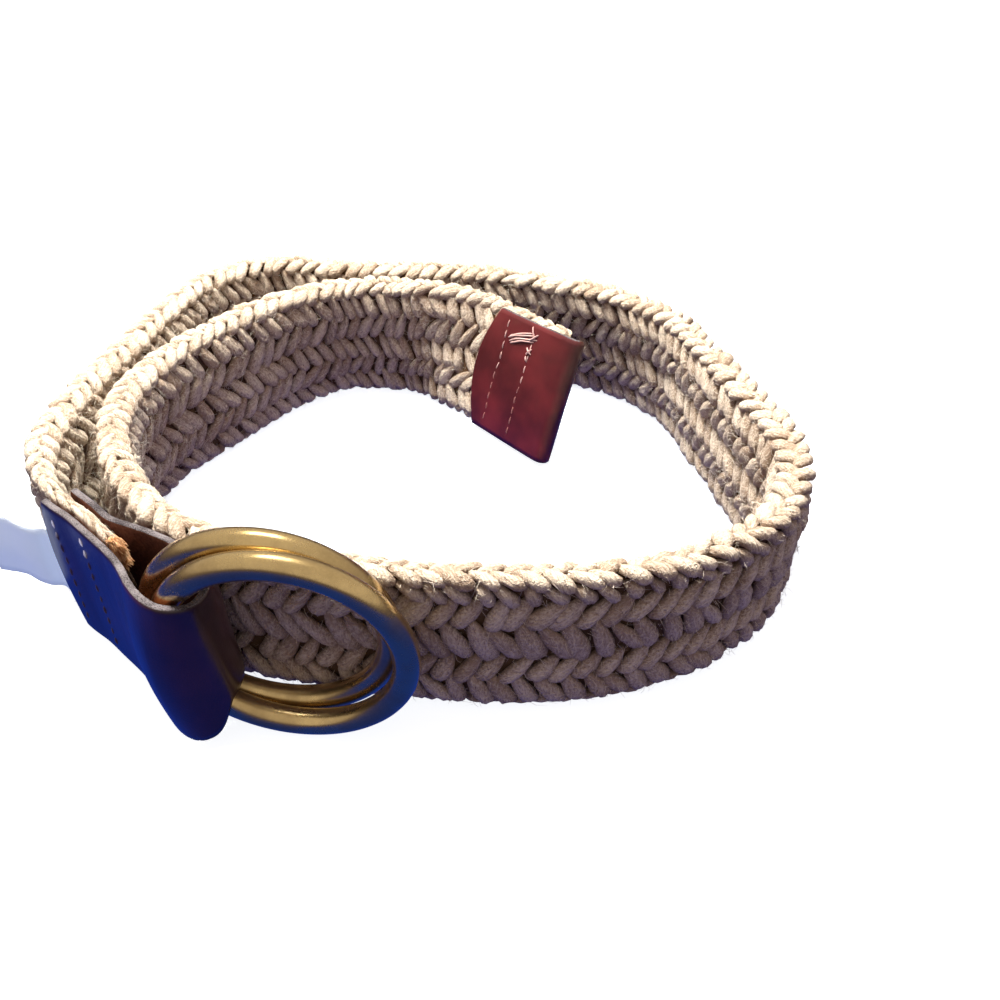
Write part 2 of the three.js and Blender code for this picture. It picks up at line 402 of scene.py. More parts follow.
# %% [markdown]
# ## Round the section
#
# A braid like this is a tube of strands pressed flat. Its section is a slot shape: two straight
# faces and a rounded top and bottom edge. One number says how far round the section a point is, and
# one how far along the strap, so the strap has a flat map on which the strands are laid out before
# they are bent on to it. The faces aren't quite flat: each pair of columns makes a soft rib along the
# strap, whose upper half looks up into the light and whose lower half looks down.

# %% From the flat map to the belt
CORNER = 3.8                # radius of the section's four corners
FLOOR_GAP = 0.05            # nothing sinks below this height
NEAR = 0.4                  # how far before and behind a point the strap's direction is taken


def section_outline():
    """Distance, across, up and the outward direction's two parts, once round the section. It starts
    at the middle of the top edge and goes down the left face."""
    turn = np.radians(np.linspace(0, 360, 361))
    outwards = np.stack([np.sin(turn), np.cos(turn)], axis=1).round(9)
    corner = np.sign(outwards) * (np.array([THICK, WIDTH]) / 2 - CORNER)
    place = corner + CORNER * outwards + (0, WIDTH / 2)
    gone = np.concatenate([[0], np.cumsum(np.linalg.norm(np.diff(place, axis=0), axis=1))])
    return np.column_stack([gone, place, outwards])


outline = section_outline()
GIRTH = outline[-1, 0]

COLUMNS = 12
TOP_EDGE, BOTTOM_EDGE = 0, COLUMNS // 2
# Heights at which one column of the braid ends and the next begins, measured on the outer and the
# inner face as if their rounded edges were unrolled
OUTER_SEAMS = [38.8, 33.8, 27.2, 16.4, 10.4, 1.6]
INNER_SEAMS = [37.0, 29.8, 21.6, 14.4, 7.6, 0.6]
COLUMN_STARTS = np.concatenate([
    [-GIRTH / 4 - WIDTH / 2 + INNER_SEAMS[0]],
    GIRTH / 4 + WIDTH / 2 - np.array(OUTER_SEAMS),
    GIRTH * 3 / 4 - WIDTH / 2 + np.array(INNER_SEAMS[:0:-1]),
])
COLUMN_WIDTHS = np.diff(np.append(COLUMN_STARTS, COLUMN_STARTS[0] + GIRTH))
RIB = 0.45                  # how far a rib stands out and a valley lies back
RIB_SIGNS = [-1, 0.8, -1.2, 1, -1, 1, 0, 0, -1, 1, -1, 1]    # at the start of each column


def rib(around):
    """How far the face stands out at this place round the section."""
    starts = np.append(COLUMN_STARTS, COLUMN_STARTS[0] + GIRTH)
    place = np.interp(np.mod(around - starts[0], GIRTH) + starts[0], starts, np.arange(COLUMNS + 1))
    signs = np.append(RIB_SIGNS, RIB_SIGNS[0])
    low = np.minimum(place.astype(int), COLUMNS - 1)
    ease = (1 - np.cos((place - low) * math.pi)) / 2
    return RIB * (signs[low] + (signs[low + 1] - signs[low]) * ease)


def on_strap(along, around, out):
    """World points, in metres, for places on the flat map. All three are arrays of one shape."""
    def course_at(distance, columns):
        return [np.interp(distance, course[:, 0], course[:, column]) for column in columns]

    x, y, thick, lean = course_at(along, (1, 2, 3, 4))
    ahead, behind = course_at(along + NEAR, (1, 2)), course_at(along - NEAR, (1, 2))
    tx, ty = ahead[0] - behind[0], ahead[1] - behind[1]
    tx, ty = tx / np.hypot(tx, ty), ty / np.hypot(tx, ty)
    beyond = np.maximum(along - LENGTH, 0.0) + np.minimum(along, 0.0)
    out = out + rib(around)
    around = np.mod(around, GIRTH)
    across, up, out_across, out_up = [
        np.interp(around, outline[:, 0], outline[:, i]) for i in (1, 2, 3, 4)
    ]
    across = (across + out * out_across) * thick / THICK
    up = up + out * out_up
    lean = np.radians(lean)
    side = across * np.cos(lean) + up * np.sin(lean)
    height = np.maximum(up * np.cos(lean) - across * np.sin(lean), FLOOR_GAP)
    points = np.stack([x + tx * beyond - ty * side, y + ty * beyond + tx * side, height], axis=-1)
    return points * MM


print(f"section girth {GIRTH:.1f} mm, columns {COLUMN_WIDTHS.round(1)}")

# %% [markdown]
# ## The strands
#
# Every strand floats over one column of the braid, dives under the next and comes up again two
# columns on. Strands that climb to the left and to the right take turns, so the columns lean this way
# and that and the eye sees rows of Vs. Round the section there are twelve columns: five on each face
# and one on each edge. The top edge bulges into a ridge with a row of floats down each side of it, so
# that it looks like a chain. Only the floats show, so each float is a closed spindle, plied from three
# soft yarns whose twist shows as shallow grooves. Wear has pushed the floats down the belt: they are
# thin where they come up, and thick and round where they go down again. One array holds the shape of
# a float, and another the place of all of them. Every point also gets its place within its own yarn,
# which sets the run of the fibres in the material, and a tone, which makes whole yarns paler or darker
# at random and paints shade on their low parts.

# %% One float and all floats
RIDGE = 0.60                # share of the top edge's column that lies on the inner side of its ridge
PITCH = 4.97                # from float to float along the strap, and a strand's gain per column
TUCK = 1.1                  # how far a float goes on below its neighbours
TIGHT_PITCH = 3.7           # the same near the tip, where the braid is drawn together
TIGHT_FROM, TIGHT_TO = LENGTH - 75, LENGTH - 56
KNOBS, UPRIGHT = 1, 0.22    # the column below the top edge hangs in knobs, turned by so many radians
YARN_HEIGHT = 3.0
DIVE = 2.0                  # how much lower than its crest a float's thick end is
CREST = 0.25                # where the crest is, from -1 to 1 along the float
RINGS, SIDES = 10, 12
PLIES, TURNS = 3, 3.4
LUMPS = 0.13                # unevenness of the spun yarn
TWIST = 0.55                # turn of the finest fibres, in radians a millimetre
# Painted shade: the yarns' colour darkens down from their crests, where shade falls
CREVICE_SHADE = 3.4                  # how much a yarn's tone drops with every millimetre down from its crest
OWN_YARN = 100.0            # how far apart the fibres of two yarns are in the material's noise

# Of each column: how much of its room a float fills, how much thinner its thin end is, how far its
# crest stands out of the smooth strap, how much lower its thin end is, and how deep the grooves
# between its plies are
FILLS = [1.18, 0.98, 1.04, 1.02, 1.04, 1.04, 1.0, 1.04, 1.04, 1.04, 1.04, 1.08]
THINNING = [0.35, 0.42, 0.55, 0.55, 0.55, 0.55, 0.4, 0.55, 0.55, 0.55, 0.55, 0.50]
PROUD = [0.9, 0.3] + [0.5] * 10
RISE = [0.9, 2.4] + [1.2] * 10
GROOVES = [0.13] + [0.09] * 11

# How much the floats differ: shifted along the strap, lifted, turned, longer, fatter
SHIFT, LIFT, TURNED, LONGER, FATTER = 0.42, 0.20, 0.13, 0.05, 0.10


def float_shape(thinning, proud, rise, groove):
    """A float one unit long and wide, from -1 to 1 each way, and up in millimetres. The thick end is
    at +1."""
    share = np.sin(np.linspace(-1, 1, RINGS) * math.pi / 2)[:, None]
    turn = (np.arange(SIDES) / SIDES * 2 * math.pi)[None, :]
    thin = np.maximum((CREST - share) / (1 + CREST), 0)
    thick = np.maximum((share - CREST) / (1 - CREST), 0)
    # Full is 1 at the crest. The powers make the thick end round and the thin end slender.
    full = (1 - thinning * thin ** 1.8) * np.sqrt((1 - 0.92 * thick ** 2.5) * (1 - 0.9 * thin ** 8))
    plied = full * (1 + groove * np.cos(PLIES * turn + TURNS * share))
    height = YARN_HEIGHT / 2 * (0.4 + 0.6 * plied)
    up = height * (np.sin(turn) - 1) - rise * thin ** 2 - DIVE * thick ** 3 + proud
    return np.broadcast_to(share, up.shape), plied * np.cos(turn), up


def float_places(offset):
    """Where along the strap the floats of a column are, and how far apart they are there."""
    steps = np.linspace(0, LENGTH, 2000)
    pitches = np.interp(steps, [TIGHT_FROM, TIGHT_TO], [PITCH, TIGHT_PITCH])
    passed = np.concatenate([[0], np.cumsum(np.diff(steps) / pitches[1:])])
    start = np.interp(np.arange(0.5 + offset, passed[-1] - 0.1), passed, steps)
    return start[:, None, None], np.interp(start, steps, pitches)[:, None, None]


def rows_of(columns):
    """Column, place round the section, width, lean and direction downwards of each row of floats. Over
    the top edge there are two rows, one down each side of it."""
    rows = []
    for column in columns:
        first, width = COLUMN_STARTS[column], COLUMN_WIDTHS[column]
        lean = 1 if column % 2 == 0 else -1
        if column == TOP_EDGE:
            rows.append((column, first, width * RIDGE, lean, -1))
            rows.append((column, first + width * RIDGE, width * (1 - RIDGE), -lean, 1))
        else:
            rows.append((column, first, width, lean, 1 if column <= BOTTOM_EDGE else -1))
    return rows


def floats(columns):
    """World points of every float in these columns, where each point lies in its own yarn, and a
    tone for each point, which also carries painted shade on the floats' low parts."""
    places, fibres, tones = [], [], []
    for column, first, width, lean, down in rows_of(columns):
        shape = float_shape(THINNING[column], PROUD[column], RISE[column], GROOVES[column])
        along0, across0, up0 = (part[None] for part in shape)
        start, pitch = float_places(0.0 if lean > 0 else 0.5)
        slant = np.arctan2(width, pitch)
        n = len(start)
        shift, lift, turned, longer, fatter, tone = rng.normal(0, 1, (6, n, 1, 1))
        tilt = slant + turned * TURNED + (UPRIGHT if column == KNOBS else 0.0)
        long = (np.hypot(width, pitch) / 2 + TUCK) * (1 + LONGER * longer)
        wide = pitch * np.sin(slant) / 2 * FILLS[column] * (1 + FATTER * fatter)
        a, b = along0 * long * down, across0 * wide
        along = start + shift * SHIFT + lean * a * np.cos(tilt) - b * np.sin(tilt)
        around = first + width / 2 + a * np.sin(tilt) + lean * b * np.cos(tilt)
        out = up0 + lift * LIFT + rng.normal(0, LUMPS, a.shape)
        places.append(on_strap(along, around, out))
        turn = TWIST * a
        own = np.broadcast_to(tone, a.shape)
        cos, sin = np.cos(turn), np.sin(turn)
        fibre = (a + own * OWN_YARN, b * cos + out * sin, out * cos - b * sin)
        fibres.append(np.stack(fibre, -1).reshape(-1, 3))
        # Painted shade: the tone drops with every millimetre down from the float's crest
        tones.append((own + CREVICE_SHADE * (up0 - PROUD[column])).reshape(-1))
    return np.concatenate(places), np.concatenate(fibres), np.concatenate(tones)


print(len(float_places(0.0)[0]), "floats in a row along the strap")


# %% Tubes
def tube_faces(count, rings, sides):
    """Quads along every tube and one face over each end."""
    ring = np.arange(rings - 1)[:, None] * sides
    side = np.arange(sides)[None, :]
    ahead = (side + 1) % sides
    quads = np.stack([ring + side, ring + ahead, ring + sides + ahead, ring + sides + side], -1)
    first = np.arange(sides)[::-1]
    last = np.arange(sides) + (rings - 1) * sides
    faces = []
    for i in range(count):
        base = i * rings * sides
        faces.extend((quads.reshape(-1, 4) + base).tolist())
        faces.append((first + base).tolist())
        faces.append((last + base).tolist())
    return faces


def tubes_object(name, points, fibres=None, tones=None):
    """One mesh from an array of closed tubes: tube, ring, side, xyz."""
    count, rings, sides, _ = points.shape
    mesh = bpy.data.meshes.new(name)
    mesh.from_pydata(points.reshape(-1, 3).tolist(), [], tube_faces(count, rings, sides))
    mesh.shade_smooth()
    if fibres is not None:
        mesh.attributes.new("fibre", "FLOAT_VECTOR", "POINT").data.foreach_set(
            "vector", fibres.reshape(-1).astype(np.float32))
        mesh.attributes.new("tone", "FLOAT", "POINT").data.foreach_set(
            "value", tones.astype(np.float32))
    solid = bmesh.new()
    solid.from_mesh(mesh)
    bmesh.ops.recalc_face_normals(solid, faces=solid.faces)
    solid.to_mesh(mesh)
    solid.free()
    piece = bpy.data.objects.new(name, mesh)
    bpy.context.scene.collection.objects.link(piece)
    return piece


print("each float has", len(tube_faces(1, RINGS, SIDES)), "faces")


# %% Cotton
def cotton(name, light, dark):
    """Soft natural yarn: twisted fibres along each strand, lint, and a tone of its own, with painted
    shade low down.
    """
    material, graph = new_material(name)
    fibre = graph.node("ShaderNodeAttribute", {"attribute_name": "fibre"}, {}, "Vector")
    own = graph.node("ShaderNodeAttribute", {"attribute_name": "tone"}, {}, "Fac")
    lines = noise(stretched(fibre, (0.16, 1.0, 1.0)), 2.6, 3.0, 0.6)
    place = object_place(graph)
    cloud = noise(place, 90.0, 2.0)
    lint = noise(place, 1500.0, 2.0, 0.7)
    # own carries the painted shade of the yarns' low parts as well as each yarn's own tone
    tone = lines * 0.7 + own * 0.040 + cloud * 0.22 + lint * 0.44
    colour = mix_colours(tone.smooth(0.42, 0.88), dark, light)
    height = lines * 0.5 + lint * 0.5
    finish_material(graph, {
        "Base Color": colour,
        "Roughness": 0.92,
        "Specular IOR Level": 0.15,
        "Sheen Weight": 0.20,
        "Sheen Roughness": 0.6,
        "Sheen Tint": (1.0, 0.93, 0.80, 1.0),
        "Normal": bump(height, 0.0012, 1.0),
    })
    return material


natural_cotton = cotton("natural_cotton", (0.87, 0.77, 0.63), (0.38, 0.27, 0.19))
print("material", natural_cotton.name)

# %% Lay the strands
FACES = {
    "braid_outer_face": range(1, BOTTOM_EDGE),
    "braid_inner_face": range(BOTTOM_EDGE + 1, COLUMNS),
    "braid_edges": (TOP_EDGE, BOTTOM_EDGE),
}
for name, columns in FACES.items():
    strands = tubes_object(name, *floats(columns))
    strands.data.materials.append(natural_cotton)
    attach(strands, "belt")
    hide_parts("braided_strap")
    print(name, len(strands.data.polygons), "faces")


# %% [markdown]
# ## Fuzz
#
# Soft spun cotton stands out in loose fibres wherever it is handled. They could be a hair system, but
# that doesn't travel to other programs, so every fibre is a real hair-thin tube, bent once. Those of
# each half of the strap are one mesh. They start inside the yarns and lean in random directions. The
# lower edge, on which the belt stands, has worn smooth.

# %% Loose fibres
FIBRES = 11500              # on each half
FIBRE_RADIUS = 0.046        # at its root
FUZZ_FROM, FUZZ_TO = 4, LENGTH - 30         # along the strap
ROOTS = (-0.5, 0.3)         # depth and height of the roots, from the smooth strap
WORN_SMOOTH = 5.0           # no fuzz so near to the middle of the lower edge
DRIFT = 1.4                 # how far a fibre runs along the face
RISE_SHAPE, RISE_SCALE = 2.2, 0.36          # most fibres rise a little, a few stand well out


def loose_fibres(count, first, last):
    """Thin bent tubes that start inside the yarns between two places round the section: fibre, ring,
    side, xyz."""
    along = rng.uniform(FUZZ_FROM, FUZZ_TO, (count, 1, 1))
    around = rng.uniform(first, last, (count, 1, 1))
    out = rng.uniform(*ROOTS, (count, 1, 1))
    drift_along, drift_around = rng.normal(0, DRIFT, (2, count, 1, 1))
    rise = rng.gamma(RISE_SHAPE, RISE_SCALE, (count, 1, 1))
    share = np.linspace(0, 1, 3)[None, :, None]
    turn = np.array([0.0, 2.1, 4.2])[None, None, :]
    radius = FIBRE_RADIUS * (1 - 0.6 * share)
    return on_strap(
        along + drift_along * share ** 1.5 + radius * np.cos(turn),
        around + drift_around * share ** 1.5 + radius * np.sin(turn),
        out + rise * (1.6 * share - 0.6 * share ** 2) + radius * np.cos(turn + 1.0),
    )


fuzz_material, graph = new_material("cotton_fuzz")
finish_material(graph, {
    "Base Color": (0.88, 0.80, 0.68, 1.0),
    "Roughness": 0.9,
    "Specular IOR Level": 0.2,
})
FUZZY = {
    "braid_outer_fuzz": (0.0, GIRTH / 2 - WORN_SMOOTH),
    "braid_inner_fuzz": (GIRTH / 2 + WORN_SMOOTH, GIRTH),
}
for name, (first, last) in FUZZY.items():
    fuzz = tubes_object(name, loose_fibres(FIBRES, first, last))
    fuzz.data.materials.append(fuzz_material)
    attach(fuzz, "belt")
    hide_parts("braided_strap")
    print(name, len(fuzz.data.polygons), "faces")

# %% [markdown]
# ## The braid's core
#
# Between the floats one looks down on the hidden halves of the strands, which are dark because no
# light gets there. A plain closed core just below the dives stands for them and keeps the light out.
# Its cotton is coloured dark brown, which is painted shade of the hidden strands.

# %% Core of the braid
CORE_DEPTH = 2.4            # below the smooth strap
CORE_STEP, CORE_SIDES = 2.5, 28

along = np.arange(0.6, LENGTH - 0.5, CORE_STEP)[None, :, None]
around = (np.arange(CORE_SIDES) / CORE_SIDES * GIRTH)[None, None, :]
along, around = np.broadcast_arrays(along, around)
core = tubes_object("braid_core", on_strap(along, around, np.full(along.shape, -CORE_DEPTH)))
material, graph = new_material("hidden_cotton_painted_shade")
place = object_place(graph)
# Painted shade: the core is coloured dark brown, for the shade between the floats
finish_material(graph, {
    "Base Color": mix_colours(noise(place, 900.0), (0.10, 0.06, 0.035), (0.24, 0.15, 0.085)),
    "Roughness": 0.95,
    "Specular IOR Level": 0.1,
})
core.data.materials.append(material)
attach(core, "belt")
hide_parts("braided_strap")
print("core", len(core.data.polygons), "faces")

# %% [markdown]
# ## Rings
#
# The rings are brass wire bent round and brazed shut, antiqued in a dark bath and polished again
# where the cloth will rub. The solid ring is a coarse torus, so a finer one takes its place, on the
# centre and axis of the ring's own joint.

# %% Rings
RING_WIRE = 5.7 * MM
RING_SEGMENTS, WIRE_SEGMENTS = 144, 28


def ring_piece(name, joint):
    """A fine torus on the joint's axis, as large as the node."""
    place = Vector(joint["pos_m"])
    axis = Vector(joint["axis"]).normalized()
    low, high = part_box(name)
    radius = ((high - low).z - RING_WIRE) / 2
    bpy.ops.mesh.primitive_torus_add(
        major_radius=radius, minor_radius=RING_WIRE / 2,
        major_segments=RING_SEGMENTS, minor_segments=WIRE_SEGMENTS,
    )
    made = bpy.context.active_object
    made.name = name + "_polished"
    turn = axis.to_track_quat("Z", "X").to_matrix().to_4x4()
    made.data.transform(Matrix.Translation(place) @ turn)
    made.data.shade_smooth()
    return made


def antique_brass():
    """Polished brass with clouds and specks of brown patina."""
    material, graph = new_material("antique_brass")
    place = object_place(graph)
    cloud = noise(place, 80.0, 4.0)
    specks = noise(place, 2200.0, 2.0, 0.7)
    patina = (cloud * 0.88 + specks * 0.12).smooth(0.35, 0.68)
    colour = mix_colours(patina, (0.76, 0.56, 0.26), (0.46, 0.32, 0.14))
    finish_material(graph, {
        "Base Color": colour,
        "Metallic": 1.0,
        "Roughness": 0.22 + patina * 0.14,
        "Coat Weight": 0.6,
        "Coat Roughness": 0.06,
        "Normal": bump(specks, 0.00002, 0.5),
    })
    return material


brass = antique_brass()
for joint in frame["joints"]:
    node = {"front_ring": "ring_front", "rear_ring": "ring_rear"}[joint["child"]]
    ring = ring_piece(node, joint)
    ring.data.materials.append(brass)
    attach(ring, joint["child"])
    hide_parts(node)
    print(ring.name, len(ring.data.polygons), "faces")

# %% [markdown]
# ## Leather
#
# The fold and the tip are cut from one hide, 1.5 mm thick: a glossy grain face, a matt brown flesh
# side and raw grey cut edges. The fold's grain is painted darker than the tip's, as painted shade. The
# solids already have the right bends, so a copy of each is taken, its triangles are joined to the
# quads that they came from, the cut edges are creased and the whole is subdivided. The three faces of
# the hide are told apart on the coarse quads, where that is easy.


# %% Leather from the frame's solids
def quads_of(node):
    """A fresh bmesh of a node, with the diagonal of every quad taken out again."""
    mesh = bmesh.new()
    mesh.from_mesh(frame["nodes"][node].data)
    bmesh.ops.remove_doubles(mesh, verts=mesh.verts, dist=0.002 * MM)
    longest = {face: max(face.edges, key=lambda edge: edge.calc_length()) for face in mesh.faces}
    diagonals = [
        edge for edge in mesh.edges
        if len(edge.link_faces) == 2 and all(longest[face] is edge for face in edge.link_faces)
    ]
    bmesh.ops.dissolve_edges(mesh, edges=diagonals, use_verts=False)
    return mesh


GRAIN, FLESH, CUT = range(3)
SHARP = math.radians(60)
CREASE = 0.75
LEVELS = 2                  # of subdivision


def hide_piece(name, node, faces_inwards):
    """A finer copy of a leather node with grain, flesh and cut faces. faces_inwards(face) is true on
    the flesh side."""
    mesh = quads_of(node)
    crease = mesh.edges.layers.float.new("crease_edge")
    sharp = set()
    for edge in mesh.edges:
        if len(edge.link_faces) == 2 and edge.calc_face_angle() > SHARP:
            sharp.add(edge)
            edge[crease] = CREASE
    for face in mesh.faces:
        edges = [loop.edge for loop in face.loops]
        opposite = len(edges) == 4 and any(edges[i] in sharp and edges[i + 2] in sharp for i in (0, 1))
        face.material_index = CUT if opposite else (FLESH if faces_inwards(face) else GRAIN)
        face.smooth = True
    data = bpy.data.meshes.new(name)
    mesh.to_mesh(data)
    quads = sum(len(face.verts) == 4 for face in mesh.faces)
    print(name, quads, "quads of", len(mesh.faces))
    mesh.free()
    piece = bpy.data.objects.new(name, data)
    bpy.context.scene.collection.objects.link(piece)
    smooth = piece.modifiers.new("smooth", "SUBSURF")
    smooth.levels = LEVELS
    smooth.render_levels = LEVELS
    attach(piece, "belt")
    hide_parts(node)
    return piece


FOLD_START = Vector((-80.0, -43.5, 0.0)) * MM       # the middle line between the fold's flaps
FOLD_NOSE = Vector((-37.5, -76.0, 0.0)) * MM


def towards_fold_middle(face):
    """True where a face of the ring fold looks at the middle line between its two flaps."""
    centre = face.calc_center_median()
    line = FOLD_NOSE - FOLD_START
    share = min(max((centre - FOLD_START).dot(line) / line.length_squared, 0.0), 1.0)
    inwards = FOLD_START + line * share - centre
    inwards.z = 0.0
    return face.normal.dot(inwards) > 0.0


TIP_START = Vector((*COURSE[TIP_ROW][:2], 0.0)) * MM
TIP_END = Vector((*COURSE[-1][:2], 0.0)) * MM
TIP_LEAN = math.radians(COURSE[-1][3])
TIP_ALONG = (TIP_END - TIP_START).normalized()
TIP_LEFT = Vector((-TIP_ALONG.y, TIP_ALONG.x, 0.0))
TIP_UP = Vector((0.0, 0.0, 1.0)) * math.cos(TIP_LEAN) + TIP_LEFT * math.sin(TIP_LEAN)
TIP_OUT = TIP_LEFT * math.cos(TIP_LEAN) - Vector((0.0, 0.0, 1.0)) * math.sin(TIP_LEAN)


def towards_tip_middle(face):
    """True where a face of the tip looks at the braid between its two flaps."""
    offset = (face.calc_center_median() - TIP_START).dot(TIP_OUT)
    return face.normal.dot(TIP_OUT) * offset < 0.0


def grain_leather(name, dark, light, coat):
    """Smooth oxblood grain: fine pores, faint creases and a wax gloss."""
    material, graph = new_material(name)
    place = object_place(graph)
    cloud = noise(place, 60.0, 3.0)
    pores = graph.node("ShaderNodeTexVoronoi", {"feature": "SMOOTH_F1"}, {
        "Vector": place, "Scale": 2300.0, "Smoothness": 0.4,
    }, "Distance")
    scuffs = noise(stretched(place, (1.0, 1.0, 0.25)), 420.0, 4.0, 0.6)
    colour = mix_colours(cloud.smooth(0.3, 0.75), dark, light)
    finish_material(graph, {
        "Base Color": colour,
        "Roughness": 0.26 + scuffs * 0.22,
        "Coat Weight": coat,
        "Coat Roughness": 0.22,
        "Normal": bump(pores * 0.5 + scuffs * 0.5, 0.00006, 0.6),
    })
    return material


def flesh_leather():
    """The suede side of the hide, reddish brown."""
    material, graph = new_material("suede_flesh_side")
    place = object_place(graph)
    nap = noise(place, 1500.0, 4.0, 0.7)
    cloud = noise(place, 110.0, 3.0)
    mask = (nap * 0.5 + cloud * 0.5).smooth(0.3, 0.7)
    finish_material(graph, {
        "Base Color": mix_colours(mask, (0.05, 0.018, 0.012), (0.16, 0.06, 0.038)),
        "Roughness": 0.95,
        "Specular IOR Level": 0.1,
        "Normal": bump(nap, 0.00012, 1.0),
    })
    return material


def cut_leather():
    """A raw cut edge: pale grey fibres with dark specks of dye."""
    material, graph = new_material("raw_cut_edge")
    place = object_place(graph)
    fibres = noise(place, 3400.0, 4.0, 0.75)
    cloud = noise(place, 240.0, 3.0)
    mask = (fibres * 0.7 + cloud * 0.3).smooth(0.42, 0.58)
    finish_material(graph, {
        "Base Color": mix_colours(mask, (0.03, 0.025, 0.028), (0.20, 0.18, 0.19)),
        "Roughness": 0.85,
        "Specular IOR Level": 0.2,
        "Normal": bump(fibres, 0.00015, 1.0),
    })
    return material


ring_fold = hide_piece("leather_ring_fold_hide", "leather_ring_fold", towards_fold_middle)
tip = hide_piece("leather_tip_hide", "leather_tip", towards_tip_middle)
# Painted shade: the fold's grain is a darker copy of the tip's
fold_grain = grain_leather("oxblood_grain_painted_shade", (0.018, 0.004, 0.007), (0.050, 0.012, 0.017), 0.8)
tip_grain = grain_leather("oxblood_grain", (0.050, 0.006, 0.008), (0.130, 0.015, 0.018), 0.5)
flesh, cut = flesh_leather(), cut_leather()
for piece, grain in ((ring_fold, fold_grain), (tip, tip_grain)):
    for material in (grain, flesh, cut):
        piece.data.materials.append(material)

# %% [markdown]
# ## Stitches
#
# The leather is sewn through the braid in two rows on each piece, by machine and with a pale thread.
# Each stitch comes up through one needle hole and goes down through the next, and pulls itself a
# little into the hide. The holes are found by rays cast on to the finished leather, so that every
# stitch lies on it. On the tip the sewer ended with a bar of loose strands and a few crossed
# stitches over the second row.

# %% Thread on the leather
MACHINE_THREAD, HAND_THREAD = 0.20, 0.27    # radii
STITCH = 3.5
WOBBLE = 0.2                # how far a needle hole is off the row's line
RAISED = (0.45, 0.62)       # how far a stitch's middle lies over its ends, from and to
SUNK, HAND_SUNK = 0.45, 0.5     # how deep the ends lie in their holes
THREAD_SIDES = 6
BESIDE = 12.0               # the rays start this far beside the middle of the braid


def surface_of(piece):
    """The piece as it is rendered, for rays."""
    return BVHTree.FromObject(piece, bpy.context.evaluated_depsgraph_get())


def thread(surface, places, inwards, lifts, radius):
    """One length of thread over these places, all in millimetres: ring, side, xyz. lifts says how
    high its middle lies over the leather. None where it would miss the leather."""
    path = []
    for place, lift in zip(places, lifts):
        hit = surface.ray_cast((place - inwards * BESIDE) * MM, inwards)[0]
        if hit is None:
            return None
        path.append(hit / MM - inwards * lift)
    path = np.array(path)
    ahead = np.gradient(path, axis=0)
    ahead /= np.linalg.norm(ahead, axis=1, keepdims=True)
    side = np.cross(ahead, np.array(inwards))
    turn = (np.arange(THREAD_SIDES) / THREAD_SIDES * 2 * math.pi)[None, :, None]
    ring = np.cos(turn) * side[:, None] - np.sin(turn) * np.array(inwards)
    return (path[:, None] + radius * ring) * MM


def sewn_row(surface, top, bottom, inwards):
    """A row of stitches from the top place to the bottom one."""
    count = round((bottom - top).length / STITCH)
    across = (bottom - top).normalized().cross(inwards)
    holes = [
        top.lerp(bottom, i / count) + across * rng.normal(0, WOBBLE) for i in range(count + 1)
    ]
    share = np.linspace(0, 1, 8)
    made = []
    for start, end in zip(holes, holes[1:]):
        lifts = rng.uniform(*RAISED) * np.sin(share * math.pi) ** 0.6 - SUNK
        places = [start.lerp(end, 0.05 + 0.9 * part) for part in share]
        made.append(thread(surface, places, inwards, lifts, MACHINE_THREAD))
    return made


def loose_strand(surface, corners, inwards, lift):
    """A strand over the leather through a few corners, with both ends sewn down."""
    share = np.linspace(0, 1, 8)
    corners = np.array(corners)
    line = [np.interp(share, np.linspace(0, 1, len(corners)), corners[:, i]) for i in range(3)]
    lifts = (lift + HAND_SUNK) * np.sin(share * math.pi) ** 0.4 - HAND_SUNK
    return thread(surface, [Vector(place) for place in zip(*line)], inwards, lifts, HAND_THREAD)


print(f"thread {2 * MACHINE_THREAD} and {2 * HAND_THREAD} mm thick")

# %% Sew the ring fold and the tip
FOLD_ROWS = [(21.3, 36.6, 5.0), (9.9, 37.6, 4.0)]   # along the strap, top, bottom
TIP_ROWS = [(5.5, 37.4, 3.0), (16.4, 36.8, 2.6)]
# The strands of the bar and the crossed stitches: along the tip, up
BAR = [
    [(6.2, 31.3), (9.5, 33.3), (13.5, 34.6), (17.4, 35.8)],
    [(6.8, 30.4), (10.5, 32.7), (14.5, 33.8), (19.2, 35.0)],
    [(6.6, 32.0), (12.0, 34.8), (16.2, 36.2)],
    [(7.4, 30.0), (12.5, 32.6), (18.0, 34.0)],
]
CROSSES = [
    [(15.2, 38.4), (17.4, 34.6)],
    [(18.4, 36.6), (15.0, 33.2)],
    [(15.0, 31.6), (17.6, 29.8)],
    [(17.4, 31.8), (15.4, 29.2)],
    [(15.6, 29.0), (16.6, 27.2)],
]

strap_start = Vector((*COURSE[0][:2], 0.0))
strap_ahead = (Vector((*COURSE[1][:2], 0.0)) - strap_start).normalized()
strap_left = Vector((-strap_ahead.y, strap_ahead.x, 0.0))
UP = Vector((0.0, 0.0, 1.0))

fold_surface, tip_surface = surface_of(ring_fold), surface_of(tip)
fold_lengths, tip_lengths = [], []
for along, top, bottom in FOLD_ROWS:
    for inwards in (-strap_left, strap_left):
        place = strap_start + strap_ahead * along
        fold_lengths += sewn_row(fold_surface, place + UP * top, place + UP * bottom, inwards)
for along, top, bottom in TIP_ROWS:
    for inwards in (TIP_OUT, -TIP_OUT):
        place = TIP_START / MM + TIP_ALONG * along
        tip_lengths += sewn_row(tip_surface, place + TIP_UP * top, place + TIP_UP * bottom, inwards)
BAR_LIFT, CROSS_LIFT = 0.3, 0.4             # how high they lie over the leather
for corners, lift in [(c, BAR_LIFT) for c in BAR] + [(c, CROSS_LIFT) for c in CROSSES]:
    places = [TIP_START / MM + TIP_ALONG * along + TIP_UP * up for along, up in corners]
    tip_lengths.append(loose_strand(tip_surface, places, TIP_OUT, lift))


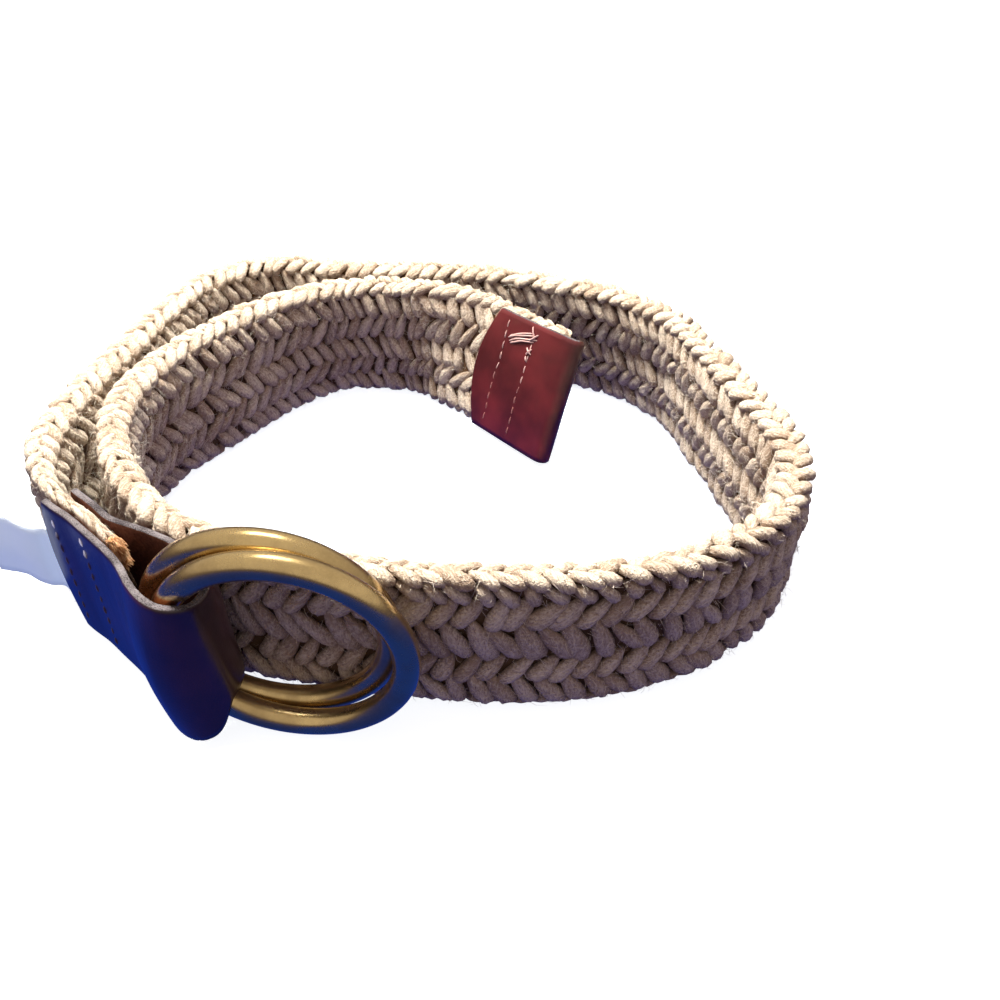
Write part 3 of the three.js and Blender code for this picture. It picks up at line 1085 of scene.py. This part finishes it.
def sewing_thread(name, darker_below, lower_colour, clean, glow):
    """Pale thread, darker below a height in metres. A little glow is painted light, which makes the
    thread brighter than the lamps make it."""
    material, graph = new_material(name)
    place = object_place(graph)
    strands = noise(place, 2600.0, 2.0, 0.6)
    worn = noise(place, 260.0, 2.0)
    clear = height_of(place).smooth(darker_below - 0.005, darker_below + 0.003)
    pale = clear * 0.7 + worn * 0.45
    colour = mix_colours(pale.smooth(0.45, 0.95), lower_colour, clean)
    finish_material(graph, {
        "Base Color": colour,
        "Emission Color": colour,
        "Emission Strength": glow,
        "Roughness": 0.7,
        "Sheen Weight": 0.3,
        "Normal": bump(strands, 0.0001, 0.8),
    })
    return material


# Painted light: the lilac thread glows a little, so that its stitches show pale
lilac_thread = sewing_thread("lilac_thread", 0.033, (0.03, 0.015, 0.03), (0.85, 0.83, 0.95), 0.4)
rose_thread = sewing_thread("rose_thread", 0.020, (0.30, 0.11, 0.10), (0.60, 0.38, 0.35), 0.0)
STITCHING = [
    ("fold_stitches", fold_lengths, lilac_thread),
    ("tip_stitches", tip_lengths, rose_thread),
]
for name, lengths, material in STITCHING:
    stitches = tubes_object(name, np.array([length for length in lengths if length is not None]))
    stitches.data.materials.append(material)
    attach(stitches, "belt")
    print(name, len(stitches.data.polygons), "faces")

# %% [markdown]
# ## Frayed end
#
# Inside the ring fold the braid is cut off, and the cut yarns fray into a rusty tuft above the
# rings. It grows like the fuzz: short bent tubes, thicker ones here, that start inside the braid's
# end and spread as they leave it.

# %% Tuft of the cut end
TUFTS, TUFTS_ON_TOP = 46, 34
TUFT_FIBRES = 16
TUFT_LOW, TUFT_HIGH = (0.6, -1.1, 2.5), (1.6, 1.1, 39.2)     # where they start: along, left, up
TUFT_TOP = (36.8, 40.2)     # height of those on top
TUFT_RADIUS = 0.11
TUFT_DROOP = 0.8            # how far the ends hang down


def frayed_end():
    """Fibres of the cut end: fibre, ring, side, xyz. A tuft's base and lie are along the strap, to its
    left and up."""
    base = rng.uniform(TUFT_LOW, TUFT_HIGH, (TUFTS, 3))
    base[:TUFTS_ON_TOP, 2] = rng.uniform(*TUFT_TOP, TUFTS_ON_TOP)
    backwards = rng.uniform(1.6, 3.0, TUFTS)
    leftwards, upwards = rng.normal(0, 0.3, TUFTS), rng.normal(0, 0.7, TUFTS)
    lie = np.stack([-backwards, leftwards, upwards], -1)
    base = np.repeat(base, TUFT_FIBRES, axis=0) + rng.normal(0, 0.3, (TUFTS * TUFT_FIBRES, 3))
    lie = np.repeat(lie, TUFT_FIBRES, axis=0) + rng.normal(0, 0.35, base.shape)
    share = np.linspace(0, 1, 5)[None, :, None, None]
    turn = (np.arange(4) / 4 * 2 * math.pi)[None, None, :]
    spot = base[:, None, None] + lie[:, None, None] * share
    spot[..., 2] -= TUFT_DROOP * share[..., 0] ** 2
    radius = TUFT_RADIUS * (1 - 0.5 * share[..., 0])
    along = spot[..., 0] + 0 * turn
    left = spot[..., 1] + radius * np.cos(turn)
    up = spot[..., 2] + radius * np.sin(turn)
    start, ahead, side, top = (np.array(v) for v in (strap_start, strap_ahead, strap_left, UP))
    return (start + along[..., None] * ahead + left[..., None] * side + up[..., None] * top) * MM


tuft = tubes_object("frayed_strap_end", frayed_end())
material, graph = new_material("rusty_frayed_cotton")
place = object_place(graph)
rust = noise(place, 700.0, 3.0).smooth(0.3, 0.7)
finish_material(graph, {
    "Base Color": mix_colours(rust, (0.42, 0.19, 0.075), (0.80, 0.52, 0.30)),
    "Roughness": 0.9,
    "Specular IOR Level": 0.15,
})
tuft.data.materials.append(material)
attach(tuft, "belt")
print("tuft", len(tuft.data.polygons), "faces")

# %% [markdown]
# ## Label
#
# A short end of white satin ribbon is caught under the edge of the ring fold. It is left blank. The
# solid that stands for it is thicker than any ribbon, so a thin one takes its place. It starts inside
# the leather's cut edge, swings clear of the braid and rises a little towards its free end. Its pale
# blue tint and a faint blue glow of its own are painted light: light that shines through such thin
# satin, and blue light that falls on it.

# %% Label
RIBBON_THICK = 0.3
RIBBON_WIDE = 18.0
RIBBON_LOW = (7.0, 11.0)    # height of its lower edge at the leather and at its free end
RIBBON_CURL = 0.7           # how far its middle and its edges bend apart
# x, y from the leather's edge outwards
RIBBON_COURSE = [
    (-80.6, -46.0), (-83.3, -44.3), (-85.6, -45.2), (-88.4, -45.0), (-92.2, -43.5), (-98.7, -43.0),
]


def ribbon():
    """The ribbon as a thin sheet of quads."""
    line = smooth_course([(x, y, 0.0, 0.0) for x, y in RIBBON_COURSE], 6)[:, 1:3]
    high = np.linspace(0, 1, 9)
    curl = RIBBON_CURL * np.cos(high * 2 * math.pi)
    points = []
    for i, (x, y) in enumerate(line):
        share = i / (len(line) - 1)
        for level, bend in zip(high, curl):
            height = np.interp(share, (0, 1), RIBBON_LOW) + RIBBON_WIDE * level
            points.append((x * MM, (y + bend * share) * MM, height * MM))
    rows, levels = len(line), len(high)
    faces = [
        (i * levels + j, (i + 1) * levels + j, (i + 1) * levels + j + 1, i * levels + j + 1)
        for i in range(rows - 1) for j in range(levels - 1)
    ]
    mesh = bpy.data.meshes.new("satin_label")
    mesh.from_pydata(points, [], faces)
    mesh.shade_smooth()
    piece = bpy.data.objects.new("satin_label", mesh)
    bpy.context.scene.collection.objects.link(piece)
    thick = piece.modifiers.new("thick", "SOLIDIFY")
    thick.thickness = RIBBON_THICK * MM
    thick.offset = 0.0
    return piece


label = ribbon()
material, graph = new_material("white_satin")
place = object_place(graph)
threads = noise(stretched(place, (1.0, 1.0, 8.0)), 700.0, 3.0, 0.6)
# Painted light: the white satin is tinted pale blue and glows faintly blue
finish_material(graph, {
    "Base Color": mix_colours(threads.smooth(0.3, 0.7), (0.74, 0.82, 0.94), (0.84, 0.90, 1.0)),
    "Roughness": 0.42,
    "Sheen Weight": 0.2,
    "Emission Color": (0.56, 0.74, 1.0, 1.0),
    "Emission Strength": 0.38,
    "Normal": bump(threads, 0.00003, 0.6),
})
label.data.materials.append(material)
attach(label, "belt")
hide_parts("blank_label")
print("label", len(label.data.polygons), "faces before its thickness")
